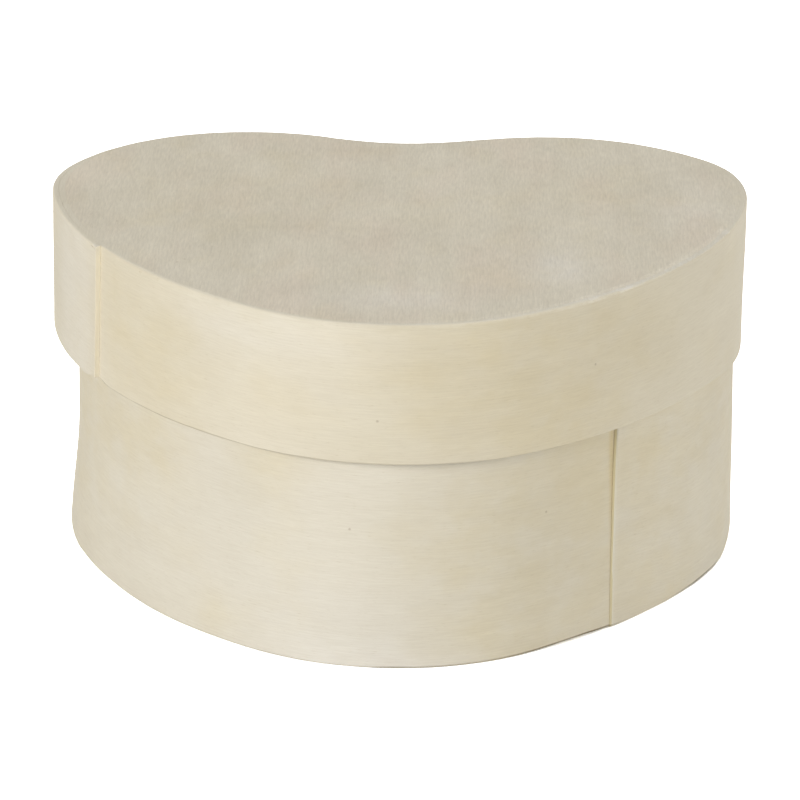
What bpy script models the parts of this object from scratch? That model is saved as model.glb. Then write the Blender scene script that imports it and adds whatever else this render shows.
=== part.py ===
"""A heart-shaped box of bent veneer with a lift-off lid.

The box and the lid are each one veneer strip, bent round a heart-shaped board.
The strip's ends overlap in a glued lap: the lid's is at the front left and the
box's at the front right. The origin is on the surface that the box stands on.
The heart's blunt tip points to -Y, its two lobes to +Y, and +Z is up.
"""

from math import atan2, ceil, cos, pi, sin, sqrt

import bmesh
import bpy
from mathutils import Vector

# Heart outline: the inner face of the box wall at its rim, a chain of arcs
LOBE_SPREAD = 0.0219      # from the middle plane to the centre of each lobe
LOBE_RADIUS = 0.0244
CLEFT_RADIUS = 0.0321     # hollow arc between the lobes
TIP_REACH = 0.0290        # from the lobe centres forward to the centre of the tip arc
TIP_RADIUS = 0.0293
FLANK_RADIUS = 0.0707     # long arc from the tip to a lobe

# Stock and fits
BOX_VENEER = 0.0009
LID_VENEER = 0.0009
BASE_THICKNESS = 0.0030
TOP_THICKNESS = 0.0030
GLUE_GAP = 0.0003         # between a board's edge and the strip round it
LAP_GLUE = 0.00015        # between the two layers of a lap
LID_CLEARANCE = 0.00035   # where the lid slides over the lap of the box
SEAT_GAP = 0.0003         # between the box rim and the board of the lid
SANDED_EDGE = 0.00025

# Heights
BOX_HEIGHT = 0.0467
LID_DEPTH = 0.0202
FLARE = 0.0012            # how far the box wall leans out at its foot
FLARE_BELOW_LID = 0.0060  # the wall is upright this far below the lid's edge

# Laps: the strip's outer end, measured along the heart from the tip, and what it covers
BOX_SEAM = 0.0346
BOX_LAP = 0.0300
LID_SEAM = 0.0522
LID_LAP = 0.0280
LAP_RUN = 0.0070          # length over which the strip climbs onto its own first end

# Facets
OUTLINE_STEP = 0.0031     # spacing of the points along the heart
FLARE_LEVELS = 3

# Places that follow from the sizes
BOX_LAP_STEP = BOX_VENEER + LAP_GLUE
LID_LAP_STEP = LID_VENEER + LAP_GLUE
LID_INSIDE = BOX_VENEER + BOX_LAP_STEP + LID_CLEARANCE
TOP_BOARD_Z = BOX_HEIGHT + SEAT_GAP
TOTAL_HEIGHT = TOP_BOARD_Z + TOP_THICKNESS
LID_EDGE_Z = TOTAL_HEIGHT - LID_DEPTH
FLARE_TOP_Z = LID_EDGE_Z - FLARE_BELOW_LID


def smooth(t):
    """Ease from 0 to 1."""
    t = min(max(t, 0.0), 1.0)
    return t * t * (3 - 2 * t)


def angle_of(vector):
    return atan2(vector.y, vector.x)


def heart_arcs():
    """The heart as tangent arcs, from the tip round by the right: centre, radius, angle, turn."""
    lobe = Vector((LOBE_SPREAD, 0))
    tip = Vector((0, -TIP_REACH))
    cleft = Vector((0, sqrt((LOBE_RADIUS + CLEFT_RADIUS) ** 2 - LOBE_SPREAD ** 2)))

    # The flank's centre lies where both other arcs touch the flank from inside
    to_lobe = FLANK_RADIUS - LOBE_RADIUS
    to_tip = FLANK_RADIUS - TIP_RADIUS
    between = tip - lobe
    along = (to_lobe ** 2 - to_tip ** 2 + between.length ** 2) / (2 * between.length)
    across = sqrt(to_lobe ** 2 - along ** 2)
    unit = between.normalized()
    flank = lobe + along * unit + across * Vector((unit.y, -unit.x))

    tip_joint = angle_of(tip - flank)
    lobe_joint = angle_of(lobe - flank)
    cleft_joint = angle_of(cleft - lobe)
    right = [
        (tip, TIP_RADIUS, -pi / 2, tip_joint + pi / 2),
        (flank, FLANK_RADIUS, tip_joint, lobe_joint - tip_joint),
        (lobe, LOBE_RADIUS, lobe_joint, cleft_joint - lobe_joint),
        (cleft, CLEFT_RADIUS, cleft_joint + pi, pi / 2 - cleft_joint),
    ]
    left = [
        (Vector((-centre.x, centre.y)), radius, pi - angle - turn, turn)
        for centre, radius, angle, turn in reversed(right)
    ]
    return right + left


ARCS = heart_arcs()
HEART_LENGTH = sum(radius * abs(turn) for _, radius, _, turn in ARCS)


def heart_point(travel, offset):
    """The point that lies travel along the heart from its tip, and offset outside it."""
    travel %= HEART_LENGTH
    for centre, radius, angle, turn in ARCS:
        length = radius * abs(turn)
        if travel <= length:
            break
        travel -= length
    angle += turn * travel / length
    reach = radius + offset if turn > 0 else radius - offset
    return centre + reach * Vector((cos(angle), sin(angle)))


def wood(name, colour):
    """Unfinished pale wood."""
    material = bpy.data.materials.new(name)
    material.use_nodes = True
    shader = material.node_tree.nodes["Principled BSDF"]
    shader.inputs["Base Color"].default_value = (*colour, 1)
    shader.inputs["Roughness"].default_value = 0.7
    shader.inputs["Metallic"].default_value = 0.0
    return material


def finish(obj, parent, material):
    """Put a piece in the collection, under its empty, with its material and sanded edges."""
    obj.data.materials.append(material)
    obj.parent = parent
    PARTS.objects.link(obj)
    sanded = obj.modifiers.new("sanded_edges", "BEVEL")
    sanded.width = SANDED_EDGE
    sanded.segments = 1
    sanded.limit_method = "ANGLE"
    sanded.angle_limit = pi / 3


def board(name, offset, bottom, thickness, parent, material):
    """A flat heart-shaped board, its edge offset from the heart."""
    count = ceil(HEART_LENGTH / OUTLINE_STEP)
    curve = bpy.data.curves.new(name, "CURVE")
    curve.dimensions = "2D"
    curve.fill_mode = "BOTH"
    curve.extrude = thickness / 2
    outline = curve.splines.new("POLY")
    outline.points.add(count - 1)
    outline.use_cyclic_u = True
    for i, point in enumerate(outline.points):
        place = heart_point(HEART_LENGTH * i / count, offset)
        point.co = (place.x, place.y, 0, 1)
    obj = bpy.data.objects.new(name, curve)
    obj.location.z = bottom + thickness / 2 - parent.location.z
    weld = obj.modifiers.new("caps", "WELD")
    weld.merge_threshold = 0.00001
    finish(obj, parent, material)


def strip(name, side, seam, lap, step, veneer, inside, levels, lean, parent, material):
    """A veneer strip bent round the heart, its last stretch lying over its first.

    Seen from above the strip runs counterclockwise when side is 1, and its outer end is
    at seam on the left. When side is -1 it runs clockwise to a seam on the right. At each
    level the wall leans out by lean(level) from inside, the place of its inner face.
    """
    length = HEART_LENGTH + lap
    count = ceil(length / OUTLINE_STEP)
    mesh = bmesh.new()
    rows = []
    for level in levels:
        row = []
        for i in range(count + 1):
            laid = length * i / count
            climb = step * smooth((laid - HEART_LENGTH + LAP_RUN) / LAP_RUN)
            offset = inside + veneer / 2 + lean(level) + climb
            place = heart_point(side * (laid - length - seam), offset)
            row.append(mesh.verts.new((place.x, place.y, level - parent.location.z)))
        rows.append(row)
    for low, high in zip(rows, rows[1:]):
        for i in range(count):
            mesh.faces.new((low[i], low[i + 1], high[i + 1], high[i]))
    if side < 0:
        bmesh.ops.reverse_faces(mesh, faces=mesh.faces)
    data = bpy.data.meshes.new(name)
    mesh.to_mesh(data)
    mesh.free()
    data.shade_smooth()
    data.set_sharp_from_angle(angle=pi / 6)
    obj = bpy.data.objects.new(name, data)
    thickness = obj.modifiers.new("veneer", "SOLIDIFY")
    thickness.thickness = veneer
    thickness.offset = 0
    thickness.use_even_offset = True
    finish(obj, parent, material)


def frame(name, height):
    """An empty that carries the pieces of one body."""
    empty = bpy.data.objects.new(name, None)
    empty.location.z = height
    PARTS.objects.link(empty)
    return empty


def box_lean(level):
    """The box wall is upright on the board's edge, then eases in to the heart."""
    return FLARE * (1 - smooth((level - BASE_THICKNESS) / (FLARE_TOP_Z - BASE_THICKNESS)))


def upright(level):
    return 0.0


def make_box():
    body = frame("box", 0.0)
    board("base_panel", FLARE - GLUE_GAP, 0.0, BASE_THICKNESS, body, wood("base_board", (0.60, 0.53, 0.40)))
    rise = FLARE_TOP_Z - BASE_THICKNESS
    eased = [BASE_THICKNESS + rise * i / FLARE_LEVELS for i in range(FLARE_LEVELS + 1)]
    strip("box_band", -1, BOX_SEAM, BOX_LAP, BOX_LAP_STEP, BOX_VENEER, 0.0,
          [0.0, *eased, BOX_HEIGHT], box_lean, body, wood("box_veneer", (0.66, 0.60, 0.47)))


def make_lid():
    body = frame("lid", BOX_HEIGHT)
    board("lid_panel", LID_INSIDE - GLUE_GAP, TOP_BOARD_Z, TOP_THICKNESS, body,
          wood("top_board", (0.56, 0.52, 0.42)))
    strip("lid_band", 1, LID_SEAM, LID_LAP, LID_LAP_STEP, LID_VENEER, LID_INSIDE,
          [LID_EDGE_Z, TOTAL_HEIGHT], upright, body, wood("lid_veneer", (0.70, 0.63, 0.50)))


for old in list(bpy.data.objects):
    bpy.data.objects.remove(old)
PARTS = bpy.data.collections.new("heart_box")
bpy.context.scene.collection.children.link(PARTS)
make_box()
make_lid()
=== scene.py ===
"""The looks of the heart-shaped veneer box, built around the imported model."""

import math

import bmesh
import bpy
import numpy as np
from mathutils import Matrix, Vector, noise


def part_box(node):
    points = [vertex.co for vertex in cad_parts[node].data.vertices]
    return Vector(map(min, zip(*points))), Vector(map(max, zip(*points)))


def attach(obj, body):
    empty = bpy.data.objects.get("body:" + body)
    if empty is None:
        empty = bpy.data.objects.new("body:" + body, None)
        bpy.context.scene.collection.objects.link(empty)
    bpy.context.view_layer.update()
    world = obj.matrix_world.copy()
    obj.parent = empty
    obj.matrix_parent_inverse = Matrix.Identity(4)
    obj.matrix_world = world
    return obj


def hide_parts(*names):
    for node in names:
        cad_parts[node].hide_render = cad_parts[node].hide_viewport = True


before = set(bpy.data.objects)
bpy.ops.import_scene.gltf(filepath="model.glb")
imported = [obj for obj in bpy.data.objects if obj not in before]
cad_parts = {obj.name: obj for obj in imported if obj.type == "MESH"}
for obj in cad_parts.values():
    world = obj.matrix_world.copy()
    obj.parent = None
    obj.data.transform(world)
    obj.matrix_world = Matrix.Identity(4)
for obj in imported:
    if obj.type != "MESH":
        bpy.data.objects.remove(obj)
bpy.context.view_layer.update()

MM = 0.001

# Heart outline, the inner face of the box wall at its rim, in millimetres
LOBE_SPREAD = 21.9
LOBE_RADIUS = 24.4
CLEFT_RADIUS = 32.1
TIP_REACH = 29.0
TIP_RADIUS = 29.3
FLANK_RADIUS = 70.7

# Stock and fits, in millimetres
LAP_GLUE = 0.01           # between the two layers of a lap
LID_INSIDE = 2.3          # from the heart to the inner face of the lid's strip
BOARD_GAP = 0.005         # hairline between a board and the strip glued round it

# Heights, in millimetres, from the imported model
BOX_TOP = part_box("box_band")[1].z / MM
BASE_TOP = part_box("base_panel")[1].z / MM
LID_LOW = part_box("lid_band")[0].z / MM
LID_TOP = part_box("lid_band")[1].z / MM
TOP_BOARD_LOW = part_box("lid_panel")[0].z / MM

# The box wall leans out towards its foot: a place along the heart, how far, from what height down,
# and how sharply. Places along the heart start at the tip, and are positive on the right.
FOOT_LEANS = [
    (-141.0, 0.8, 20.0, 1.3), (-95.0, 0.75, 18.0, 1.3), (-78.0, 0.88, 16.5, 1.6), (-70.0, 1.22, 16.0, 1.6),
    (-66.0, 1.33, 16.5, 1.6), (-62.0, 1.25, 17.0, 1.6), (-50.0, 1.28, 20.0, 1.3), (-40.0, 1.6, 21.0, 1.2),
    (-20.0, 1.8, 23.0, 1.2), (0.0, 1.6, 24.0, 1.2), (34.0, 1.25, 26.0, 1.2), (42.0, 0.98, 26.0, 1.2),
    (52.0, 0.95, 26.0, 1.2), (57.0, 1.12, 26.0, 1.2), (62.0, 1.2, 26.0, 1.2), (66.0, 1.15, 26.0, 1.2),
    (72.0, 0.7, 26.0, 1.2), (78.0, 0.38, 26.0, 1.2), (95.0, 0.5, 24.0, 1.2), (141.0, 0.8, 20.0, 1.3),
]

# Small waves of the hand-bent strips: a place along the heart, a half width and an amount outwards
LID_RIM_WAVES = [(-80.0, 26.0, 0.12), (92.5, 6.0, 0.6), (132.0, 6.0, 0.4)]
LID_EDGE_WAVES = [(-80.0, 26.0, 0.06), (67.5, 7.0, 0.65), (82.0, 6.0, -0.4)]
BOX_WALL_WAVES = [(-78.0, 22.0, -0.38), (74.0, 10.0, 0.13)]
FREE_WALL = 12.0          # this far above its board the box's wall waves fully

# How fine the meshes are
STEPS_ROUND = 400         # points along the heart
STRIP_CORNER_STEPS = 5
BOARD_CORNER_STEPS = 3
BOARD_RINGS = 16          # rings of points from a board's middle to its edge
BOARD_MIDDLE = (0.0, -9.0)
MIDDLE_SHARE = 0.02       # size of the innermost ring, as a share of the outline
RIM_INSETS = (1.0, 0.7)   # two rings close inside a board's edge, between which its worn rim fades
CLOSE_STEPS = (0.28, 0.2, 0.13, 0.07, 0.025, 0.0)    # how far the last rings are from a strip's end
EVEN_STEPS_STOP = 0.3     # how far from that end the even steps stop
LOW_EDGE_SHADE_SHARE = 0.003       # share of the height over which the painted shade at a lower edge fades
SHARP_ANGLE = math.radians(50)

# The first end of a strip, a feather, and what the lap does to it, in millimetres
FEATHER_SHARE = 0.8       # the feather reaches back over this share of the run
FEATHER_THICK = 0.1
COVERED_RADIUS = 0.01     # of the edges that the lap covers
COVER_FADE = 1.0          # length over which they become sharp

# The outer end of a strip, as lengths back from it in millimetres
THIN_REACH = 22.0         # the strip thins over this length
CUT_REACH = 14.0          # its rings of points turn into the line of the cut over this length
SLOPE_REACH = 0.28        # its outer face slopes off over this length
SLOPE_LEVELS = (0.0, 0.6) # shares of the height between which that slope changes
END_FACE = (0.05, 0.23)   # this length counts as the cut face, without a slope and with a full one
HIGHLIGHT_REACH = 0.35         # the painted highlight beside that face fades over this length
GLUE_REACH = 0.5          # the old glue on the layer below fades over this length
LEAST_THICK = 0.05

# The edges of a strip: at most these shares of the thickness are rounded off
END_ROUNDING = 0.4
OUTER_ROUNDING = 0.7
INNER_ROUNDING = 0.25

# Uneven sanding of the edges: an amount, the length over which it changes and a shift of the seed
RADIUS_CHANGES = [(0.35, 9, 0), (0.2, 2.5, 6)]           # as shares of the radius
HEIGHT_CHANGES = [(0.035, 6, 3), (0.02, 1.5, 4)]         # in millimetres
EDGE_REACH = 2.0          # how far from an edge the changes of its height are felt
LOW_WAVE_REACH = 3.0      # how far up the waves of the lower edge are felt

# Shares of the turn round the top outer edge: where the wood starts to be sanded and is fully
# sanded, and where it takes the board's pattern
SANDED_TURN = (0.35, 0.85)
BOARD_LIKE_TURN = 0.65

# How far apart pieces, layers and faces lie in the wood's pattern
STRIP_PATTERN_STEP = 40
BOARD_PATTERN_STEP = 90
LAP_PATTERN_STEP = 9      # for a millimetre that a strip climbs
FACE_PATTERN_STEP = 3     # for a millimetre of its thickness

# The camera that the photograph was taken with, in its 800 by 800 frame
IMAGE_SIZE = 800
SENSOR_WIDTH = 36.0             # in millimetres
CAMERA_DISTANCE = 0.902         # in metres
CAMERA_ELEVATION = 20.35        # in degrees, like the azimuth
CAMERA_AZIMUTH = 1.05
CAMERA_ROLL = 0.0127            # in radians
FOCAL_PIXELS = 6150.0
ORIGIN_PIXEL = (399.2, 515.0)   # where the model's origin lies in the frame


def smooth(t):
    """Ease from 0 to 1."""
    t = np.clip(t, 0.0, 1.0)
    return t * t * (3 - 2 * t)


def between(ends, share):
    """The value that lies at a share of the way from one end to the other."""
    return ends[0] + (ends[1] - ends[0]) * share


def angle_of(vector):
    return math.atan2(vector.y, vector.x)


def heart_arcs():
    """The heart as tangent arcs from the tip round by the right: x, y, radius, angle, turn."""
    lobe = Vector((LOBE_SPREAD, 0))
    tip = Vector((0, -TIP_REACH))
    cleft = Vector((0, math.sqrt((LOBE_RADIUS + CLEFT_RADIUS) ** 2 - LOBE_SPREAD ** 2)))

    # The flank's centre lies where both other arcs touch the flank from inside
    to_lobe = FLANK_RADIUS - LOBE_RADIUS
    to_tip = FLANK_RADIUS - TIP_RADIUS
    apart = tip - lobe
    along = (to_lobe ** 2 - to_tip ** 2 + apart.length ** 2) / (2 * apart.length)
    across = math.sqrt(to_lobe ** 2 - along ** 2)
    unit = apart.normalized()
    flank = lobe + along * unit + across * Vector((unit.y, -unit.x))

    tip_joint = angle_of(tip - flank)
    lobe_joint = angle_of(lobe - flank)
    cleft_joint = angle_of(cleft - lobe)
    right = [
        (tip.x, tip.y, TIP_RADIUS, -math.pi / 2, tip_joint + math.pi / 2),
        (flank.x, flank.y, FLANK_RADIUS, tip_joint, lobe_joint - tip_joint),
        (lobe.x, lobe.y, LOBE_RADIUS, lobe_joint, cleft_joint - lobe_joint),
        (cleft.x, cleft.y, CLEFT_RADIUS, cleft_joint + math.pi, math.pi / 2 - cleft_joint),
    ]
    left = [
        (-x, y, radius, math.pi - angle - turn, turn)
        for x, y, radius, angle, turn in reversed(right)
    ]
    return np.array(right + left)


ARCS = heart_arcs()
ARC_ENDS = np.cumsum(ARCS[:, 2] * np.abs(ARCS[:, 4]))
HEART_LENGTH = ARC_ENDS[-1]


def heart_at(travel, offset):
    """Points that lie travel along the heart from its tip and offset outside it, as x and y."""
    travel = np.mod(travel, HEART_LENGTH)
    index = np.minimum(np.searchsorted(ARC_ENDS, travel), len(ARCS) - 1)
    x, y, radius, angle, turn = np.moveaxis(ARCS[index], -1, 0)
    length = radius * np.abs(turn)
    angle = angle + turn * (1 - (ARC_ENDS[index] - travel) / length)
    reach = radius + offset * np.sign(turn)
    return x + reach * np.cos(angle), y + reach * np.sin(angle)


def signed(travel):
    """The place along the heart from the tip, negative on the left."""
    return np.mod(travel + HEART_LENGTH / 2, HEART_LENGTH) - HEART_LENGTH / 2


def wander(travel, changes, seed):
    """Gentle random numbers along the heart, summed over changes of different lengths."""
    turns = 2 * math.pi * np.mod(travel, HEART_LENGTH).ravel() / HEART_LENGTH
    total = np.zeros(travel.shape)
    for amount, grain, shift in changes:
        around = HEART_LENGTH / (2 * math.pi) / grain
        values = [noise.noise((around * math.cos(t), around * math.sin(t), seed + shift)) for t in turns]
        total = total + amount * np.array(values).reshape(travel.shape)
    return total


def bumps(place, bumps_at):
    """The sum of smooth bumps, each with a place, a half width and an amount."""
    total = 0.0 * place
    for at, width, amount in bumps_at:
        total = total + amount * np.exp(-((place - at) / width) ** 2)
    return total


def waves(travel, places):
    """Bumps along the heart, with places on the left negative."""
    total = 0.0 * travel
    for at, width, amount in places:
        total = total + bumps(signed(travel - at), [(0, width, amount)])
    return total


def spots(a, b, places):
    """The sum of soft spots, each with a place and a half width both ways and an amount."""
    total = 0.0 * (a + b)
    for at_a, at_b, half_a, half_b, amount in places:
        total = total + amount * np.exp(-((a - at_a) / half_a) ** 2 - ((b - at_b) / half_b) ** 2)
    return total


# Pieces of the box and the lid, in millimetres. A strip's seam is its outer end, and the lap is
# what that end covers. The strip takes the run to climb over its own thinned first end. Stains,
# pale places and tones are spots by place along the heart and height, or by x and y on a board,
# and pins are the places of small knots. All else that changes along an edge is a list of waves,
# except top_nicks, which are bumps along the strip from its first end.


class BoxStrip:
    """The box's strip winds clockwise, seen from above, to its seam at the front right."""
    side = -1
    seam = 35.05
    lap = 43.5
    run = 18.0
    inside = 0.0
    thick = 0.9
    low = 0.0
    high = BOX_TOP
    rows = 34                       # rows of points up each face
    corners = (0.2, 0.24, 0.03)     # radii of the outer top, the outer low and the inner edges
    worn = []                       # where the outer top edge is rounder
    # The line that the end was cut along, as a share of the height and a place along the strip
    cut = [(0.0, -1.03), (0.2, -0.54), (0.3, -0.21), (0.55, 0.41), (0.85, 0.83), (1.0, 1.03)]
    round_off = 0.25                # how the outer edge of the end is rounded
    end_highlight_amount = 0.5                  # how strong the painted highlight is beside the low part of the end
    end_left = (0.3, 0.66)          # share of the thickness that is left at the end, low and high
    end_slope = (0.9, 0.65)         # share of that thickness that slopes off, at the slope's levels
    end_tint = (0.6, 1.0)           # how much of its own colour the end shows, low and high
    top_nicks = []
    low_waves = [(27.0, 8.0, 0.32), (58.0, 6.0, 0.1), (-20.0, 9.0, 0.05)]
    rim = []                        # where the rim has a whitish fuzz
    # Painted shade along the foot: the dark contact line where the strip meets the floor, as waves along
    # its lowest row
    low_edge_shade = [(31.0, 3.5, 1.0), (22.0, 7.5, 0.95), (6.0, 6.0, 0.4), (0.0, 2.5, 0.3), (-30.0, 30.0, 0.15),
             (52.0, 4.0, 0.35), (59.0, 5.0, 1.5)]
    stains = [(-61.0, 24.0, 8.0, 5.0, 1.2), (-42.0, 23.5, 9.0, 6.0, 1.1), (-26.0, 3.5, 3.0, 3.0, 0.9),
              (29.5, 22.0, 6.0, 7.0, 1.2), (25.0, 2.0, 9.0, 5.0, 0.9), (29.5, 26.0, 7.0, 4.5, 2.0),
              (19.0, 18.0, 15.0, 12.0, 1.5), (16.0, 4.0, 6.0, 5.0, 0.9), (31.0, 11.0, 4.0, 10.0, 0.7),
              (41.0, 18.0, 9.0, 18.0, 0.8), (51.0, 22.0, 9.0, 5.0, 0.8), (48.0, 3.0, 8.0, 5.0, 0.7),
              (-18.0, 27.0, 5.0, 6.0, 0.8), (43.0, 24.0, 5.0, 5.0, 1.2), (-68.0, 22.0, 18.0, 25.0, 0.8),
              (74.0, 22.0, 26.0, 25.0, 0.9)]
    # The last two pale places and the last tone are painted light: the foot is painted lighter, standing
    # in for the light that the floor throws onto it
    pale = [(24.5, 21.0, 3.5, 2.5, 0.4), (-1.0, 0.0, 14.0, 4.0, 0.8), (-8.0, 6.0, 14.0, 7.0, 0.5)]
    tones = [(-6.0, 20.0, 9.0, 18.0, 0.4), (20.0, 16.0, 12.0, 8.0, -0.5), (-22.0, 21.0, 6.0, 8.0, -0.4),
             (45.0, 14.0, 9.0, 22.0, 0.5), (-1.0, 0.0, 14.0, 2.5, 0.6)]
    pins = [(-5.5, 19.6), (22.5, 19.8)]
    seed = 1

    @staticmethod
    def shape(travel, height):
        """The wall leans out to its foot, and waves a little where no board holds it."""
        place, *values = zip(*FOOT_LEANS)
        amount, start, sharp = (np.interp(signed(travel), place, value) for value in values)
        lean = amount * np.clip(1 - height / start, 0, 1) ** sharp
        return lean + smooth((height - BASE_TOP) / FREE_WALL) * waves(travel, BOX_WALL_WAVES)


class LidStrip:
    """The lid's strip winds counterclockwise, seen from above, to its seam at the front left."""
    side = 1
    seam = 52.2
    lap = 28.0
    run = 19.0
    inside = LID_INSIDE
    thick = 0.87
    low = LID_LOW
    high = LID_TOP
    rows = 18
    corners = (0.3, 0.2, 0.01)
    worn = [(-32.0, 22.0, 0.45), (5.0, 20.0, 0.12), (25.0, 8.0, 0.3), (52.0, 14.0, -0.15)]
    cut = [(0.0, 0.45), (1.0, -0.4)]
    round_off = 0.05
    end_highlight_amount = 0.0
    end_left = (0.75, 0.85)
    end_slope = (0.0, 0.0)
    end_tint = (1.0, 1.0)
    top_nicks = [(310.0, 0.4, 0.3), (108.8, 0.6, 0.12), (115.4, 1.2, 0.16), (144.0, 0.7, 0.12)]
    low_waves = [(-4.0, 26.0, 0.15), (62.0, 8.0, -0.35), (-52.8, 1.6, 0.6)]
    rim = [(40.0, 38.0, 0.8), (28.6, 0.8, 0.6), (35.2, 1.3, 0.8), (64.0, 0.8, 0.6)]
    # Painted shade along the lid's lower edge, standing in for the shade under the lid and the shadow of
    # the lap's end
    low_edge_shade = [(-51.2, 1.0, 0.6), (-47.0, 4.0, 0.2), (-36.0, 9.0, 0.35), (-18.0, 14.0, 0.35),
             (4.0, 14.0, 0.12)]
    stains = [(-17.0, 37.0, 6.0, 5.0, 0.5), (0.0, 42.5, 10.0, 3.0, 0.5), (-47.0, 41.0, 5.0, 10.0, 0.8),
              (-36.0, 39.0, 6.0, 9.0, 0.8), (17.0, 37.0, 13.0, 6.5, 0.5), (15.0, 47.0, 9.0, 3.0, 0.9),
              (25.0, 32.0, 9.0, 4.0, 0.7), (38.0, 43.0, 9.0, 6.0, 0.35), (25.0, 40.0, 26.0, 16.0, 0.5)]
    pale = [(-20.0, 47.0, 14.0, 3.2, 0.8), (-60.0, 39.0, 7.0, 16.0, 1.6), (-17.0, 38.0, 8.0, 10.0, 0.9),
            (-6.0, 44.0, 6.0, 6.0, 0.9)]
    tones = [(-34.0, 42.0, 9.0, 5.0, -0.5), (-6.0, 47.0, 7.0, 5.0, 0.5), (-69.0, 42.0, 8.0, 8.0, -0.6)]
    pins = [(-1.8, 36.2), (29.0, 40.4)]
    seed = 2

    @staticmethod
    def shape(travel, height):
        """The strip follows the board at its rim, and is free to wave towards its lower edge."""
        free = smooth((TOP_BOARD_LOW - height) / (TOP_BOARD_LOW - LID_LOW))
        return waves(travel, LID_RIM_WAVES) * (1 - free) + free * waves(travel, LID_EDGE_WAVES)


class BoxBoard:
    """The base board is glued into the foot of the box's strip."""
    inside = BoxStrip.inside
    shape = BoxStrip.shape
    low = BoxStrip.low
    high = BASE_TOP
    corner = 0.1
    rim = []
    stains = []
    pale = []
    tones = []
    pins = []
    seed = 5


class LidBoard:
    """The top board is glued into the rim of the lid's strip."""
    inside = LidStrip.inside
    shape = LidStrip.shape
    low = TOP_BOARD_LOW
    high = LidStrip.high
    corner = 0.01
    rim = LidStrip.rim
    stains = [(-24.0, -8.0, 15.0, 20.0, 0.3), (28.0, 0.0, 10.0, 8.0, 0.35), (4.0, -14.0, 5.0, 5.0, 0.3)]
    pale = [(0.0, -50.0, 9.0, 5.0, 0.9), (23.0, -34.0, 3.5, 6.5, 1.4), (41.0, -6.0, 7.0, 15.0, 0.5)]
    tones = [(-26.0, -18.0, 12.0, 12.0, -0.5), (13.0, -8.0, 4.0, 14.0, 0.5),
             (-13.0, -48.0, 6.0, 6.0, -0.5), (14.0, -42.0, 4.0, 4.0, 0.5), (39.0, -24.0, 4.0, 8.0, 0.6)]
    pins = [(-40.1, -17.5), (-30.6, -35.7), (-29.6, -34.3)]
    seed = 2


def section(rows, outer_top, outer_low, inner):
    """Points round a strip's section: side (1 outer, -1 inner), share of a corner's turn, share of
    the height, and radius of the edge."""
    corner = [k / STRIP_CORNER_STEPS for k in range(STRIP_CORNER_STEPS + 1)]
    points = []
    for side, top, low in ((1, outer_top, outer_low), (-1, inner, inner)):
        # A row just above the lowest, within which the painted shade at the lower edge fades
        column = [(side, 1 - c, 0.0, low) for c in corner] + [(side, 0.0, LOW_EDGE_SHADE_SHARE, low)]
        column += [(side, 0.0, k / rows, low + (top - low) * k / rows) for k in range(1, rows)]
        column += [(side, c, 1.0, top) for c in corner]
        points += column if side > 0 else column[::-1]
    return np.array(points).T


def strip_across(form, height, outward):
    """The pattern's coordinate across the fibres of a strip."""
    return height + STRIP_PATTERN_STEP * form.seed + FACE_PATTERN_STEP * outward


def board_grain(points, seed):
    """A board's fibres run from front to back."""
    return np.stack([points[..., 1], points[..., 0] + BOARD_PATTERN_STEP * seed, points[..., 2]], -1)


def ring_faces(rings, around):
    """Quads between rings of points, and a cap on the first and the last ring."""
    faces = []
    for i in range(rings - 1):
        here, there = i * around, (i + 1) * around
        for j in range(around):
            k = (j + 1) % around
            faces.append((here + j, there + j, there + k, here + k))
    faces.append(tuple(range(around)))
    faces.append(tuple((rings - 1) * around + j for j in reversed(range(around))))
    return faces


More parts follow.
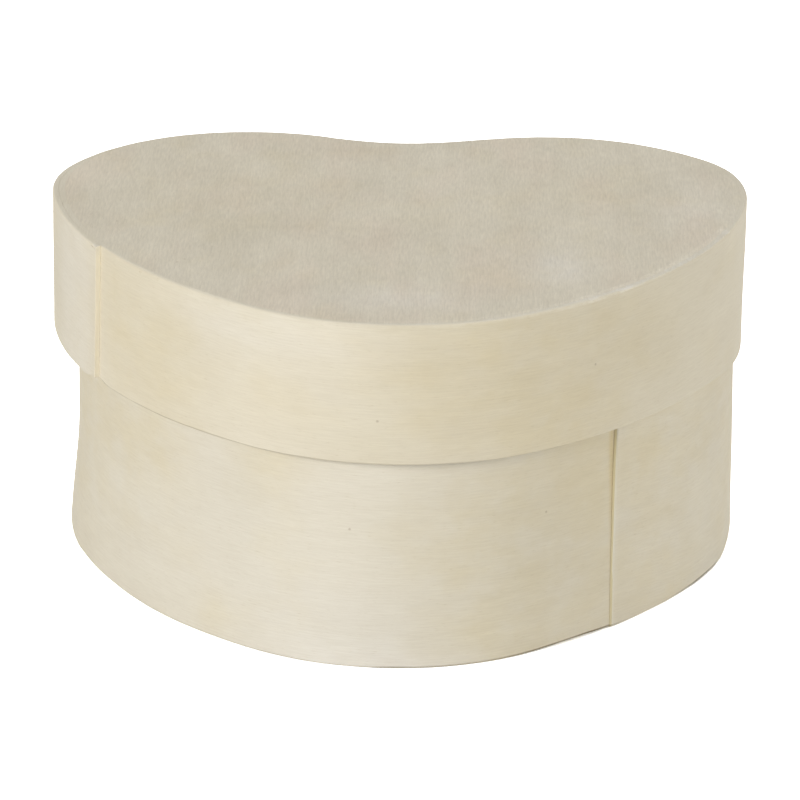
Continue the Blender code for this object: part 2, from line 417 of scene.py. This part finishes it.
class BentStrip:
    """The points of one bent veneer strip: a ring round its section at each step along it."""

    def __init__(self, form):
        self.form = form
        length = HEART_LENGTH + form.lap
        laid = np.arange(-form.run * FEATHER_SHARE, length - EVEN_STEPS_STOP, HEART_LENGTH / STEPS_ROUND)
        self.laid = np.append(laid, length - np.array(CLOSE_STEPS))[:, None]
        self.from_end = length - self.laid
        self.travel = form.side * (self.laid - length - form.seam)
        face, self.turn, self.share, self.radius = section(form.rows, *form.corners)
        self.outer = face > 0
        self.top = self.share > 0.5
        self.edge = self.turn > 0
        self.angle = self.turn * math.pi / 2
        self.set_radii()
        self.set_heights()
        self.set_depths()
        offset = form.inside + self.climb + self.outward + form.shape(self.travel, self.height)
        self.points = np.stack([*heart_at(self.travel, offset), self.height], -1)

    def set_radii(self):
        """The edges are rounded unevenly, and are sharp where the lap covers them."""
        form = self.form
        covered = smooth((form.lap - self.laid) / COVER_FADE + 1) * self.outer
        radius = self.radius + np.where(self.outer & self.top, waves(self.travel, form.worn), 0)
        radius = radius * (1 + wander(self.travel, RADIUS_CHANGES, form.seed))
        self.radius = radius * (1 - covered) + COVERED_RADIUS * covered

    def set_heights(self):
        """Heights, with uneven sanding and nicks along the edges and waves of the lower one."""
        form, top = self.form, self.top
        low, high = form.low, form.high
        height = low + self.radius + (high - low - 2 * self.radius) * self.share
        height = height + np.where(self.edge, np.where(top, 1, -1) * self.radius * np.sin(self.angle), 0)

        # Sanding takes off both edges, except the inner top one, which stays level with the board
        from_edge = np.where(top, high - height, height - low)
        inwards = np.where(top, np.where(self.outer, -1, 0), 1)
        sanded_off = np.abs(wander(self.travel, HEIGHT_CHANGES, form.seed))
        height = height + inwards * smooth(1 - from_edge / EDGE_REACH) * sanded_off

        self.nick = np.where(top & self.edge & self.outer, bumps(self.laid, form.top_nicks), 0)
        height = height - self.nick
        self.level = (height - low) / (high - low)
        near_low = np.maximum(1 - (height - low) / LOW_WAVE_REACH, 0)
        self.height = height + waves(self.travel, form.low_waves) * near_low

    def set_depths(self):
        """Thickness outwards, from a feather at the first end to the sloped and rounded outer end."""
        form, outer, level, from_end = self.form, self.outer, self.level, self.from_end
        full = form.thick * smooth((self.laid + form.run) / form.run) - LAP_GLUE
        left = between(form.end_left, level)
        thick = np.maximum(full, FEATHER_THICK) * (1 - (1 - left) * (1 - smooth(from_end / THIN_REACH)))
        self.climb = (form.thick + LAP_GLUE) * smooth((self.laid - HEART_LENGTH + form.run) / form.run)

        # What the end and the edges take off the outer face, and what the edges take off the inner
        into_round = np.maximum(form.round_off - from_end, 0)
        dip = form.round_off - np.sqrt(form.round_off ** 2 - into_round ** 2)
        self.sloped = np.interp(level, SLOPE_LEVELS, form.end_slope)
        slope = thick * np.clip(1 - from_end / SLOPE_REACH, 0, 1)
        drop = np.minimum(dip, thick * END_ROUNDING) * (1 - self.sloped) + slope * self.sloped
        most = thick * np.where(outer, OUTER_ROUNDING, INNER_ROUNDING)
        retreat = np.minimum(self.radius * (1 - np.cos(self.angle)), most)
        self.outward = np.where(outer, np.maximum(thick - retreat - drop, LEAST_THICK), retreat)

        # The rings near the outer end turn into the line that it was cut along
        self.slant = np.interp(level, *zip(*form.cut)) * smooth(1 - from_end / CUT_REACH)
        self.travel = self.travel - form.side * self.slant

    def grain(self):
        """The pattern's coordinates along, across and through the fibres."""
        across = strip_across(self.form, self.height, self.outward)
        through = LAP_PATTERN_STEP * self.climb
        grain = np.stack(np.broadcast_arrays(self.laid + self.slant, across, through), -1)
        like_board = self.top & self.edge & ((self.turn > BOARD_LIKE_TURN) | ~self.outer)
        return np.where(like_board[:, None], board_grain(self.points, self.form.seed), grain)

    def marks(self):
        """How strongly each point is sanded, cut, worn or stained, and how much painted shade and painted
        highlight it takes.
        """
        form, outer = self.form, self.outer
        place = signed(self.travel)
        rim = self.top & self.edge
        lowest = self.share == 0
        layer_below = self.laid < HEART_LENGTH / 2
        past_seam = signed(form.side * (form.seam - self.travel))
        sanded = smooth((self.turn - SANDED_TURN[0]) / (SANDED_TURN[1] - SANDED_TURN[0]))
        from_face = self.from_end - between(END_FACE, self.sloped)
        highlight = np.exp(-from_face / HIGHLIGHT_REACH) * (1 - self.level) * form.end_highlight_amount
        marks = {
            "sanded": np.where(rim, np.where(outer, sanded, 1), 0),
            "end": np.where(from_face < 0, between(form.end_tint, self.level), 0),
            # Painted highlight beside the low part of the outer end
            "end_highlight": np.where(outer & (from_face > 0), highlight, 0),
            "under_end": np.where(outer & layer_below, np.exp(-(past_seam / GLUE_REACH) ** 2), 0),
            "nick": self.nick,
            "rim": np.where(rim, waves(self.travel, form.rim), 0),
            # Painted shade on the lowest row of the outer face
            "low_edge_shade": np.where(outer & lowest, waves(self.travel, form.low_edge_shade), 0),
            "stain": np.where(outer, spots(place, self.height, form.stains), 0),
            "pale": np.where(outer, spots(place, self.height, form.pale), 0),
            "tone": np.where(outer, spots(place, self.height, form.tones), 0),
        }
        return {key: np.broadcast_to(values, self.height.shape) for key, values in marks.items()}


def strip(form):
    """The points, faces, pattern and marks of one bent veneer strip."""
    bent = BentStrip(form)
    return bent.points, ring_faces(*bent.points.shape[:2]), bent.grain(), bent.marks()


def board_rings(form):
    """Rings of a board's points from its top middle over the edge to its bottom middle: inset,
    height, and size as a share of the outline."""
    low, high, corner = form.low, form.high, form.corner
    quarter = [k / BOARD_CORNER_STEPS * math.pi / 2 for k in range(BOARD_CORNER_STEPS + 1)]
    edge = [(corner * (1 - math.sin(a)), high - corner * (1 - math.cos(a))) for a in quarter]
    edge += [(inset, low + high - level) for inset, level in reversed(edge)]
    shares = [MIDDLE_SHARE] + [k / BOARD_RINGS for k in range(1, BOARD_RINGS)]
    rings = [(corner, high, share) for share in shares]
    rings += [(inset, high, 1.0) for inset in RIM_INSETS]
    rings += [(inset, level, 1.0) for inset, level in edge]
    return rings + [(corner, low, share) for share in reversed(shares)]


def board(form):
    """The points, faces, pattern and marks of one heart-shaped board with slightly rounded edges."""
    travel = HEART_LENGTH * np.arange(STEPS_ROUND) / STEPS_ROUND
    points = []
    worn = []
    for inset, level, share in board_rings(form):
        x, y = heart_at(travel, form.inside + form.shape(travel, level) - BOARD_GAP - inset)
        x, y = (middle + (value - middle) * share for middle, value in zip(BOARD_MIDDLE, (x, y)))
        points.append(np.stack([x, y, np.full(STEPS_ROUND, level)], -1))
        at_rim = share == 1 and inset < RIM_INSETS[0] and level > form.low + form.corner
        worn.append(waves(travel, form.rim) * at_rim)
    points = np.array(points)
    marks = {
        "stain": spots(points[..., 0], points[..., 1], form.stains),
        "pale": spots(points[..., 0], points[..., 1], form.pale),
        "tone": spots(points[..., 0], points[..., 1], form.tones),
        "rim": np.array(worn),
    }
    return points, ring_faces(*points.shape[:2]), board_grain(points, form.seed), marks


def mesh_object(name, made, body, node, material):
    """A smooth mesh that rides on a body and stands for a CAD node, with its pattern and marks."""
    points, faces, grain, marks = made
    mesh = bpy.data.meshes.new(name)
    mesh.from_pydata((points.reshape(-1, 3) * MM).tolist(), [], faces)
    mesh.update()
    shape = bmesh.new()
    shape.from_mesh(mesh)
    bmesh.ops.recalc_face_normals(shape, faces=shape.faces)
    shape.to_mesh(mesh)
    shape.free()
    mesh.shade_smooth()
    mesh.set_sharp_from_angle(angle=SHARP_ANGLE)
    along = mesh.attributes.new("grain", "FLOAT_VECTOR", "POINT")
    along.data.foreach_set("vector", grain.astype(np.float32).ravel())
    for key, values in marks.items():
        mark = mesh.attributes.new(key, "FLOAT", "POINT")
        mark.data.foreach_set("value", values.astype(np.float32).ravel())
    mesh.materials.append(material)
    piece = bpy.data.objects.new(name, mesh)
    bpy.context.scene.collection.objects.link(piece)
    flat = piece.modifiers.new("flat_faces_stay_flat", "WEIGHTED_NORMAL")
    flat.keep_sharp = True
    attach(piece, body)
    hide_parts(node)


# Materials: colours of the wood
BOX_LIGHT = (0.813, 0.755, 0.624)
BOX_DARK = (0.715, 0.650, 0.520)
LID_LIGHT = (0.810, 0.735, 0.570)
LID_DARK = (0.712, 0.634, 0.477)
BOARD_LIGHT = (0.818, 0.757, 0.620)
BOARD_DARK = (0.660, 0.602, 0.478)
BOX_END = (0.66, 0.56, 0.31)        # old glue on the cut face
# The lid's cut face: pale end grain, painted lighter still to stand in for the light that falls on it
LID_END_PALE_AND_LIT = (0.885, 0.81, 0.63)
# Painted highlight on the rounded edge beside the box's cut end
END_HIGHLIGHT_COLOUR = (0.9, 0.86, 0.74)

# Tints that the wood's colour is multiplied by
STAIN_TINT = (0.968, 0.937, 0.845)
PALE_TINT = (1.03, 1.045, 1.10)
ROSY_TINT = (1.0, 0.972, 0.968)
DARK_FLECK_TINT = (0.86, 0.83, 0.77)
LIGHT_FLECK_TINT = (1.06, 1.06, 1.07)
SPECK_TINT = (0.45, 0.36, 0.25)
PIN_TINT = (0.42, 0.34, 0.24)
STRIP_RIM_TINT = (1.06, 1.09, 1.165)
BOARD_RIM_TINT = (1.11, 1.12, 1.145)
NICK_TINT = (1.12, 1.13, 1.18)
# Painted shade at the lower edges
LOW_EDGE_SHADE_TINT = (0.28, 0.245, 0.155)
BOX_GLUE_TINT = (0.90, 0.82, 0.62)
NO_GLUE_TINT = (1.0, 1.0, 1.0)

# How the wood looks: shares of the fibre streaks and the bands in its changes, and strengths
STRIP_FIBRES = 0.5
BOARD_FIBRES = 0.36
BANDS = 0.2
SPECK_STRENGTH = 0.55
PIN_STRENGTH = 0.4
PIN_RADII = (0.08, 0.24)            # of a knot's dark middle and of its outline, in millimetres
DEEP_STAIN = 1.5                    # from this strength a stain goes deeper
DEEP_STAIN_STRENGTH = 0.6
GLUE_STRENGTH = 0.8
NICK_GAIN = 5.0
TONE_CHANGE = 0.07
MOTTLE_CHANGE = 0.055
STRIP_ROUGHNESS = 0.62
BOARD_ROUGHNESS = 0.66
SPECULAR_LEVEL = 0.15
RELIEF_STRENGTH = 0.25
RELIEF_DEPTH = 0.05                 # in millimetres
FINE_RELIEF = 0.5                   # height of the finest fibres beside the streaks

# Sockets of a mix node that mixes colours
MIX_FACTOR = 0
MIX_A = 6
MIX_B = 7
MIX_RESULT = 2


class Wood:
    """A node tree for unfinished wood. Its pattern lies in the grain attribute: x is along the fibres."""

    def __init__(self, name, light, dark, rough, fibrous):
        self.material = bpy.data.materials.new(name)
        self.material.use_nodes = True
        self.tree = self.material.node_tree
        self.shader = self.tree.nodes["Principled BSDF"]
        self.shader.inputs["Roughness"].default_value = rough
        self.shader.inputs["Specular IOR Level"].default_value = SPECULAR_LEVEL
        self.grain = self.attribute("grain", "Vector")
        self.fibres = self.noise((0.3, 4.5, 1.0), detail=3, rough=0.6, distortion=0.2)
        self.colour = self.paint(light, dark, fibrous)

    def give(self, socket, value):
        """Set an input to a value, or link it to another node's output."""
        if isinstance(value, bpy.types.NodeSocket):
            self.tree.links.new(value, socket)
        else:
            socket.default_value = value

    def node(self, kind, inputs=(), **settings):
        """A node with its settings, and its inputs as values or as other nodes' outputs."""
        made = self.tree.nodes.new(kind)
        for key, value in settings.items():
            setattr(made, key, value)
        for key, value in dict(inputs).items():
            self.give(made.inputs[key], value)
        return made

    def attribute(self, name, output="Fac"):
        return self.node("ShaderNodeAttribute", attribute_name=name).outputs[output]

    def math(self, operation, a, b, clamp=False):
        return self.node("ShaderNodeMath", {0: a, 1: b}, operation=operation, use_clamp=clamp).outputs[0]

    def stretch(self, scale, shift=0.0):
        """The grain's coordinates times scale, each way, moved to another part of the pattern."""
        made = self.node("ShaderNodeMapping", {
            "Vector": self.grain, "Scale": scale, "Location": (shift, shift, shift)})
        return made.outputs["Vector"]

    def noise(self, scale, detail=2.0, rough=0.5, shift=0.0, distortion=0.0):
        """A cloudy pattern, with scale as about its number of clouds in a millimetre, each way."""
        made = self.node("ShaderNodeTexNoise", {
            "Vector": self.stretch(scale, shift), "Scale": 1.0, "Detail": detail,
            "Roughness": rough, "Distortion": distortion})
        return made.outputs["Fac"]

    def range(self, value, low, high, to_low=0.0, to_high=1.0):
        """The value's range from low to high, laid over another range, and no further."""
        made = self.node("ShaderNodeMapRange", {
            "Value": value, "From Min": low, "From Max": high, "To Min": to_low, "To Max": to_high})
        return made.outputs["Result"]

    def mix(self, factor, a, b, blend="MIX"):
        """The colour a with b mixed in or multiplied in."""
        inputs = {MIX_FACTOR: factor, MIX_A: a, MIX_B: b}
        return self.node("ShaderNodeMix", inputs, data_type="RGBA", blend_type=blend).outputs[MIX_RESULT]

    def tinted(self, colour, factor, tint):
        return self.mix(factor, colour, (*tint, 1), "MULTIPLY")

    def tint(self, factor, tint):
        self.colour = self.tinted(self.colour, factor, tint)

    def cover(self, factor, colour):
        self.colour = self.mix(factor, self.colour, (*colour, 1))

    def shade(self, value, amount):
        """Darker where the value is 0 and lighter where it is 1."""
        tone = self.mix(value, (*[1 - amount] * 3, 1), (*[1 + amount] * 3, 1))
        self.colour = self.mix(1.0, self.colour, tone, "MULTIPLY")

    def marked(self, mark, gain=1.0):
        """The strength of a mark, from 0 to 1."""
        return self.math("MULTIPLY", self.attribute(mark), gain, True)

    def broken(self, mark, pattern):
        """The strength of a mark, from 0 to 1, broken up by a pattern."""
        return self.math("MULTIPLY", self.marked(mark), pattern, True)

    def paint(self, light, dark, fibrous):
        """Fibre streaks, soft bands and blotches, short flecks and a few specks."""
        bands = self.noise((0.06, 0.7, 0.4), shift=7.0)
        blotches = self.noise((0.07, 0.1, 0.1), detail=3, shift=21.0)
        value = self.range(self.fibres, 0.3, 0.7, 0.0, fibrous)
        value = self.math("ADD", value, self.range(bands, 0.3, 0.7, 0.0, BANDS))
        value = self.math("ADD", value, self.range(blotches, 0.3, 0.7, 0.0, 1 - BANDS - fibrous))
        colour = self.mix(value, (*dark, 1), (*light, 1))
        warm = self.noise((0.09, 0.12, 0.1), detail=3, shift=43.0)
        colour = self.tinted(colour, self.range(warm, 0.5, 0.72, 0.0, 0.35), STAIN_TINT)
        flecks = self.noise((1.0, 7.0, 1.0), detail=1, shift=5.0)
        colour = self.tinted(colour, self.range(flecks, 0.64, 0.8, 0.0, 0.65), DARK_FLECK_TINT)
        colour = self.tinted(colour, self.range(flecks, 0.34, 0.2, 0.0, 0.6), LIGHT_FLECK_TINT)
        return self.tinted(colour, self.specks(), SPECK_TINT)

    def specks(self):
        """Small specks in the middles of some cells of a pattern."""
        cells = self.node("ShaderNodeTexVoronoi", {
            "Vector": self.stretch((0.075, 0.1, 0.02), 3.0), "Scale": 1.0, "Randomness": 1.0})
        near = self.range(cells.outputs["Distance"], 0.012, 0.03, 1.0, 0.0)
        some = self.range(self.noise((0.09, 0.09, 0.1), detail=0, shift=77.0), 0.47, 0.5)
        return self.math("MULTIPLY", near, self.math("MULTIPLY", some, SPECK_STRENGTH))

    def pins(self, places):
        """Small dark knots at places in the grain's own plane."""
        flat = self.stretch((1.0, 1.0, 0.0))
        for x, y in places:
            apart = self.node("ShaderNodeVectorMath", {0: flat, 1: (x, y, 0.0)}, operation="DISTANCE")
            self.tint(self.range(apart.outputs["Value"], *PIN_RADII, PIN_STRENGTH, 0.0), PIN_TINT)

    def worn_rim(self, tint):
        """A whitish fuzz along the rim."""
        pattern = self.noise((1.4, 2.0, 2.0), detail=3, rough=0.7, shift=17.0)
        self.tint(self.broken("rim", self.range(pattern, 0.42, 0.6, 0.3, 1.1)), tint)

    def blots(self):
        """Old yellow stains and pale places with broken outlines, and soft light and dark areas."""
        pattern = self.noise((0.16, 0.22, 0.2), detail=4, rough=0.6, shift=61.0)
        uneven = self.range(pattern, 0.35, 0.65, 0.6, 1.2)
        self.tint(self.broken("stain", uneven), STAIN_TINT)
        deep = self.math("SUBTRACT", self.attribute("stain"), DEEP_STAIN, True)
        self.tint(self.math("MULTIPLY", deep, DEEP_STAIN_STRENGTH), STAIN_TINT)
        self.tint(self.broken("pale", uneven), PALE_TINT)
        self.shade(self.range(self.attribute("tone"), -1.0, 1.0), TONE_CHANGE)

    def done(self):
        """The colour and the fine relief of the fibres go to the shader."""
        self.give(self.shader.inputs["Base Color"], self.colour)
        fine = self.noise((0.3, 8.0, 3.0), detail=3, rough=0.65, shift=11.0)
        height = self.math("ADD", self.fibres, self.math("MULTIPLY", fine, FINE_RELIEF))
        relief = self.node("ShaderNodeBump", {
            "Height": height, "Strength": RELIEF_STRENGTH, "Distance": RELIEF_DEPTH * MM})
        self.give(self.shader.inputs["Normal"], relief.outputs["Normal"])
        return self.material


def strip_wood(name, form, light, dark, end_colour, glue_tint):
    """Veneer. Its rim is sanded like the boards, and its outer end and what lies by it have glue."""
    wood = Wood(name, light, dark, STRIP_ROUGHNESS, STRIP_FIBRES)
    wood.blots()
    laid = [(form.side * travel + form.seam + form.lap) % HEART_LENGTH for travel, _ in form.pins]
    across = [strip_across(form, height, form.thick) for _, height in form.pins]
    wood.pins(zip(laid, across))
    sanded = wood.paint(BOARD_LIGHT, BOARD_DARK, BOARD_FIBRES)
    wood.colour = wood.mix(wood.attribute("sanded"), wood.colour, sanded)
    wood.worn_rim(STRIP_RIM_TINT)
    wood.tint(wood.marked("nick", NICK_GAIN), NICK_TINT)
    wood.cover(wood.marked("end"), end_colour)
    # Painted highlight beside the low part of the outer end
    wood.cover(wood.marked("end_highlight"), END_HIGHLIGHT_COLOUR)
    wood.tint(wood.marked("under_end", GLUE_STRENGTH), glue_tint)
    # Painted shade along the lower edge
    wood.tint(wood.marked("low_edge_shade"), LOW_EDGE_SHADE_TINT)
    return wood.done()


def board_wood(name, form):
    """Plywood, with rosy areas and a fine mottling across the fibres."""
    wood = Wood(name, BOARD_LIGHT, BOARD_DARK, BOARD_ROUGHNESS, BOARD_FIBRES)
    rosy = wood.noise((0.03, 0.08, 0.1), detail=3, shift=31.0)
    wood.tint(wood.range(rosy, 0.48, 0.66), ROSY_TINT)
    mottled = wood.noise((0.45, 3.0, 1.0), shift=53.0)
    wood.shade(wood.range(mottled, 0.3, 0.7), MOTTLE_CHANGE)
    wood.blots()
    wood.worn_rim(BOARD_RIM_TINT)
    wood.pins([(y, x + BOARD_PATTERN_STEP * form.seed) for x, y in form.pins])
    return wood.done()


def make_box():
    wood = strip_wood("box_strip_wood", BoxStrip, BOX_LIGHT, BOX_DARK, BOX_END, BOX_GLUE_TINT)
    mesh_object("box_strip", strip(BoxStrip), "box", "box_band", wood)
    wood = board_wood("box_board_wood", BoxBoard)
    mesh_object("box_board", board(BoxBoard), "box", "base_panel", wood)


def make_lid():
    wood = strip_wood("lid_strip_wood", LidStrip, LID_LIGHT, LID_DARK, LID_END_PALE_AND_LIT, NO_GLUE_TINT)
    mesh_object("lid_strip", strip(LidStrip), "lid", "lid_band", wood)
    wood = board_wood("lid_board_wood", LidBoard)
    mesh_object("lid_board", board(LidBoard), "lid", "lid_panel", wood)


# Stage, in metres
FLOOR_SIZE = 6
FLOOR_DROP = 0.00002                # below the box, so that the two don't share a plane
FLOOR_PALE = (0.88, 0.91, 0.97)
FLOOR_GAIN = 3.2
AMBIENT_STRENGTH = 0.3
BACKDROP_STRENGTH = 1.02
LAMP_SIZE = (0.9, 0.4)
LAMP_DISTANCE = 1.5

# Lamps: name, azimuth, elevation and power. Azimuth 0 is at the front, and positive to the right.
LAMPS = [("top", 180, 75, 5.2), ("key", -40, 20, 11.3), ("front_fill", 20, 20, 1.9),
         ("side_fill", 90, 11, 6.0)]


def by_ray(nodes, links, plain, mirrored, shown, out):
    """The camera sees shown, gloss and glass see mirrored, and all other light meets plain."""
    path = nodes.new("ShaderNodeLightPath")
    either = nodes.new("ShaderNodeMath")
    either.operation = "MAXIMUM"
    links.new(path.outputs["Is Glossy Ray"], either.inputs[0])
    links.new(path.outputs["Is Transmission Ray"], either.inputs[1])
    result = plain
    for factor, shader in ((either.outputs[0], mirrored), (path.outputs["Is Camera Ray"], shown)):
        mix = nodes.new("ShaderNodeMixShader")
        links.new(factor, mix.inputs[0])
        links.new(result, mix.inputs[1])
        links.new(shader, mix.inputs[2])
        result = mix.outputs[0]
    links.new(result, out)


def make_floor():
    """A pale floor, so brightly exposed for the camera that only the line of contact stays dark."""
    bpy.ops.mesh.primitive_plane_add(size=FLOOR_SIZE)
    floor = bpy.context.active_object
    floor.name = "floor"
    floor.location.z = -FLOOR_DROP
    material = bpy.data.materials.new("white_floor")
    material.use_nodes = True
    nodes, links = material.node_tree.nodes, material.node_tree.links
    nodes.clear()
    out = nodes.new("ShaderNodeOutputMaterial")
    pale = nodes.new("ShaderNodeBsdfDiffuse")
    pale.inputs["Color"].default_value = (*FLOOR_PALE, 1)
    bright = nodes.new("ShaderNodeBsdfDiffuse")
    bright.inputs["Color"].default_value = (FLOOR_GAIN, FLOOR_GAIN, FLOOR_GAIN, 1)
    white = nodes.new("ShaderNodeEmission")
    by_ray(nodes, links, pale.outputs[0], white.outputs[0], bright.outputs[0], out.inputs["Surface"])
    material.cycles.emission_sampling = "NONE"
    floor.data.materials.append(material)


def make_world():
    """A white backdrop that lights the box only dimly."""
    world = bpy.data.worlds.new("studio")
    bpy.context.scene.world = world
    world.use_nodes = True
    nodes, links = world.node_tree.nodes, world.node_tree.links
    nodes.clear()
    out = nodes.new("ShaderNodeOutputWorld")
    shaders = []
    for strength in (AMBIENT_STRENGTH, BACKDROP_STRENGTH):
        shader = nodes.new("ShaderNodeBackground")
        shader.inputs["Color"].default_value = (1, 1, 1, 1)
        shader.inputs["Strength"].default_value = strength
        shaders.append(shader.outputs[0])
    dim, white = shaders
    by_ray(nodes, links, dim, white, white, out.inputs["Surface"])


def direction(azimuth, elevation):
    """The way from the box to something at these angles, in radians."""
    flat = math.cos(elevation)
    return Vector((math.sin(azimuth) * flat, -math.cos(azimuth) * flat, math.sin(elevation)))


def make_lamp(name, azimuth, elevation, power):
    """A wide soft lamp that faces the box."""
    lamp = bpy.data.lights.new(name, "AREA")
    lamp.shape = "RECTANGLE"
    lamp.size, lamp.size_y = LAMP_SIZE
    lamp.energy = power
    obj = bpy.data.objects.new(name, lamp)
    towards = direction(math.radians(azimuth), math.radians(elevation))
    obj.location = towards * LAMP_DISTANCE
    obj.rotation_euler = (-towards).to_track_quat("-Z", "Y").to_euler()
    bpy.context.scene.collection.objects.link(obj)


def make_lights():
    make_world()
    for lamp in LAMPS:
        make_lamp(*lamp)


def make_camera():
    """The photograph's camera: it looks at the box from slightly above the front."""
    camera = bpy.data.cameras.new("camera")
    camera.sensor_width = SENSOR_WIDTH
    camera.lens = FOCAL_PIXELS / IMAGE_SIZE * SENSOR_WIDTH
    camera.clip_start = 0.05
    camera.clip_end = 20
    obj = bpy.data.objects.new("camera", camera)
    bpy.context.scene.collection.objects.link(obj)
    bpy.context.scene.camera = obj

    # The origin's place in the frame before the roll, right and down from the middle
    right = ORIGIN_PIXEL[0] - IMAGE_SIZE / 2
    down = ORIGIN_PIXEL[1] - IMAGE_SIZE / 2
    cos_roll, sin_roll = math.cos(CAMERA_ROLL), math.sin(CAMERA_ROLL)
    right, down = right * cos_roll + down * sin_roll, down * cos_roll - right * sin_roll

    azimuth, elevation = math.radians(CAMERA_AZIMUTH), math.radians(CAMERA_ELEVATION)
    tilt = math.pi / 2 - elevation + math.atan(down / FOCAL_PIXELS)
    pan = azimuth + math.atan(right / FOCAL_PIXELS / math.cos(elevation))
    turn = Matrix.Rotation(pan, 4, "Z") @ Matrix.Rotation(tilt, 4, "X")
    turn = turn @ Matrix.Rotation(CAMERA_ROLL, 4, "Z")
    obj.matrix_world = Matrix.Translation(direction(azimuth, elevation) * CAMERA_DISTANCE) @ turn


make_camera()
make_box()
make_lid()
make_floor()
make_lights()
bpy.context.scene.view_settings.view_transform = "Standard"

bpy.context.view_layer.update()
